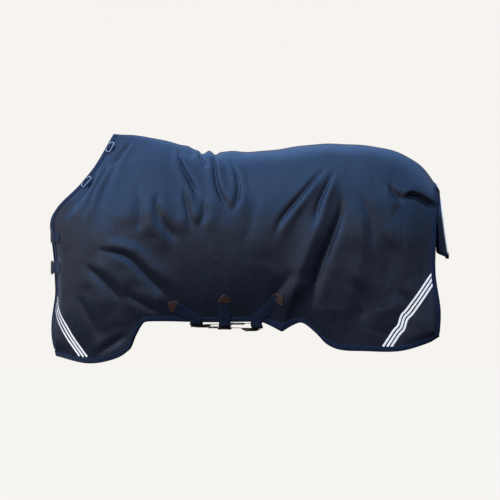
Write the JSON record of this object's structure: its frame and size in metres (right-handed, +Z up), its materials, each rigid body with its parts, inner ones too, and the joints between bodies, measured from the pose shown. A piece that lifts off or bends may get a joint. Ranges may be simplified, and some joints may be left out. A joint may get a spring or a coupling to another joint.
{
  "type": "turnout rug",
  "caption": "Waterproof turnout rug in worn shape: shaped side panels, tail flap, neck rings, clip-fastened chest and crossed belly straps, reflective corner stripes.",
  "frame": {"origin": "middle of the flat underside of the withers pad, where the rug rests on the horse", "axes": "+X towards the tail, +Y towards the off side, +Z up"},
  "size_m": [1.7635, 0.648, 1.0138],
  "materials": {
    "shell_cloth": "dark navy coated ripstop-look woven nylon with a soft sheen",
    "lining_cloth": "smooth navy nylon lining",
    "wadding": "white polyester wadding",
    "edge_binding": "matt navy woven binding",
    "navy_webbing": "navy woven webbing",
    "fleece": "grey fleece",
    "brown_leather": "brown leather with stitched edges",
    "brass_fittings": "worn brass-coloured plate",
    "steel_fittings": "bright steel",
    "reflective_tape": "silver reflective stripes on a dark backing",
    "pale_piping": "pale silver piping"
  },
  "bodies": {
    "rug": {"near_shell": "shell_cloth", "near_wadding": "wadding", "near_lining": "lining_cloth", "near_front_binding": "edge_binding", "near_rear_binding": "edge_binding", "near_hem_binding": "edge_binding", "off_shell": "shell_cloth", "off_wadding": "wadding", "off_lining": "lining_cloth", "off_front_binding": "edge_binding", "off_rear_binding": "edge_binding", "off_hem_binding": "edge_binding", "withers_pad": "fleece", "front_belly_tab": "navy_webbing", "front_belly_strap": "navy_webbing", "front_belly_off_patch": "brown_leather", "front_belly_near_patch": "brown_leather", "middle_belly_tab": "navy_webbing", "middle_belly_strap": "navy_webbing", "middle_belly_off_patch": "brown_leather", "middle_belly_near_patch": "brown_leather", "rear_belly_tab": "navy_webbing", "rear_belly_strap": "navy_webbing", "rear_belly_off_patch": "brown_leather", "rear_belly_near_patch": "brown_leather", "upper_chest_tab": "navy_webbing", "upper_chest_strap": "brown_leather", "upper_chest_off_patch": "brown_leather", "lower_chest_tab": "navy_webbing", "lower_chest_strap": "navy_webbing", "lower_chest_off_patch": "brown_leather", "near_upper_ring_loop": "navy_webbing", "near_lower_ring_loop": "navy_webbing", "off_upper_ring_loop": "navy_webbing", "off_lower_ring_loop": "navy_webbing", "near_front_stripe_panel": "reflective_tape", "near_rear_stripe_panel": "reflective_tape", "off_front_stripe_panel": "reflective_tape", "off_rear_stripe_panel": "reflective_tape"},
    "tail_flap": {"tail_flap": "shell_cloth", "tail_flap_piping": "pale_piping"},
    "near_upper_ring": {"near_upper_neck_ring": "steel_fittings"},
    "near_lower_ring": {"near_lower_neck_ring": "steel_fittings"},
    "off_upper_ring": {"off_upper_neck_ring": "steel_fittings"},
    "off_lower_ring": {"off_lower_neck_ring": "steel_fittings"},
    "front_belly_plate": {"front_belly_slot_plate": "brass_fittings"},
    "front_belly_hook": {"front_belly_t_hook": "brass_fittings"},
    "middle_belly_plate": {"middle_belly_slot_plate": "brass_fittings"},
    "middle_belly_hook": {"middle_belly_t_hook": "brass_fittings"},
    "rear_belly_plate": {"rear_belly_slot_plate": "brass_fittings"},
    "rear_belly_hook": {"rear_belly_t_hook": "brass_fittings"},
    "upper_chest_plate": {"upper_chest_slot_plate": "brass_fittings"},
    "upper_chest_hook": {"upper_chest_t_hook": "brass_fittings"},
    "lower_chest_plate": {"lower_chest_slot_plate": "brass_fittings"},
    "lower_chest_hook": {"lower_chest_t_hook": "brass_fittings"},
    "front_belly_slide": {"front_belly_slide": "steel_fittings"},
    "middle_belly_slide": {"middle_belly_slide": "steel_fittings"},
    "rear_belly_slide": {"rear_belly_slide": "steel_fittings"}
  },
  "joints": [
    {"name": "tail_flap_lift", "type": "hinge", "parent": "rug", "child": "tail_flap", "pos_m": [1.2458, 0, -0.1789], "axis": [0, -1, 0], "range_deg": [0, 100]},
    {"name": "near_upper_ring_swing", "type": "hinge", "parent": "rug", "child": "near_upper_ring", "pos_m": [-0.21173, -0.07245, 0.01281], "axis": [-0.3974, -0.5225, -0.7544], "range_deg": [0, 150]},
    {"name": "near_lower_ring_swing", "type": "hinge", "parent": "rug", "child": "near_lower_ring", "pos_m": [-0.31213, -0.15292, -0.1398], "axis": [-0.6219, -0.1972, -0.7579], "range_deg": [0, 150]},
    {"name": "off_upper_ring_swing", "type": "hinge", "parent": "rug", "child": "off_upper_ring", "pos_m": [-0.21166, 0.07305, 0.01279], "axis": [0.3964, -0.526, 0.7524], "range_deg": [0, 150]},
    {"name": "off_lower_ring_swing", "type": "hinge", "parent": "rug", "child": "off_lower_ring", "pos_m": [-0.31193, 0.15037, -0.14001], "axis": [0.6228, -0.151, 0.7676], "range_deg": [0, 150]},
    {"name": "front_belly_plate_turn", "type": "hinge", "parent": "rug", "child": "front_belly_plate", "pos_m": [0.19141, -0.22724, -0.77891], "axis": [-0.8825, 0.4704, 0], "range_deg": [0, 20]},
    {"name": "front_belly_hook_turn", "type": "hinge", "parent": "rug", "child": "front_belly_hook", "pos_m": [0.2157, -0.18167, -0.77891], "axis": [0.8825, -0.4704, 0], "range_deg": [0, 13]},
    {"name": "middle_belly_plate_turn", "type": "hinge", "parent": "rug", "child": "middle_belly_plate", "pos_m": [0.30558, -0.21943, -0.78775], "axis": [-1, 0, 0], "range_deg": [0, 20]},
    {"name": "middle_belly_hook_turn", "type": "hinge", "parent": "rug", "child": "middle_belly_hook", "pos_m": [0.30558, -0.16779, -0.78775], "axis": [1, 0, 0], "range_deg": [0, 13]},
    {"name": "rear_belly_plate_turn", "type": "hinge", "parent": "rug", "child": "rear_belly_plate", "pos_m": [0.43338, -0.2267, -0.79491], "axis": [-0.8825, -0.4704, 0], "range_deg": [0, 20]},
    {"name": "rear_belly_hook_turn", "type": "hinge", "parent": "rug", "child": "rear_belly_hook", "pos_m": [0.40909, -0.18113, -0.79491], "axis": [0.8825, 0.4704, 0], "range_deg": [0, 13]},
    {"name": "upper_chest_plate_turn", "type": "hinge", "parent": "rug", "child": "upper_chest_plate", "pos_m": [-0.46027, -0.03284, -0.38198], "axis": [0, 0, 1], "range_deg": [0, 20]},
    {"name": "upper_chest_hook_turn", "type": "hinge", "parent": "rug", "child": "upper_chest_hook", "pos_m": [-0.46027, 0.0188, -0.38198], "axis": [0, 0, -1], "range_deg": [0, 13]},
    {"name": "lower_chest_plate_turn", "type": "hinge", "parent": "rug", "child": "lower_chest_plate", "pos_m": [-0.4593, -0.02155, -0.52364], "axis": [0, 0, 1], "range_deg": [0, 20]},
    {"name": "lower_chest_hook_turn", "type": "hinge", "parent": "rug", "child": "lower_chest_hook", "pos_m": [-0.4593, 0.0301, -0.52364], "axis": [0, 0, -1], "range_deg": [0, 13]},
    {"name": "front_belly_slide_adjust", "type": "slide", "parent": "rug", "child": "front_belly_slide", "axis": [0.4704, 0.8825, 0], "range_m": [-0.05, 0.05]},
    {"name": "middle_belly_slide_adjust", "type": "slide", "parent": "rug", "child": "middle_belly_slide", "axis": [0, 1, 0], "range_m": [-0.05, 0.02]},
    {"name": "rear_belly_slide_adjust", "type": "slide", "parent": "rug", "child": "rear_belly_slide", "axis": [-0.4704, 0.8825, 0], "range_m": [-0.05, 0.05]}
  ],
  "couplings": [
    {"joint": "front_belly_hook_turn", "follows": "front_belly_plate_turn", "ratio": 0.6307},
    {"joint": "middle_belly_hook_turn", "follows": "middle_belly_plate_turn", "ratio": 0.6307},
    {"joint": "rear_belly_hook_turn", "follows": "rear_belly_plate_turn", "ratio": 0.6307},
    {"joint": "upper_chest_hook_turn", "follows": "upper_chest_plate_turn", "ratio": 0.6307},
    {"joint": "lower_chest_hook_turn", "follows": "lower_chest_plate_turn", "ratio": 0.6307}
  ]
}
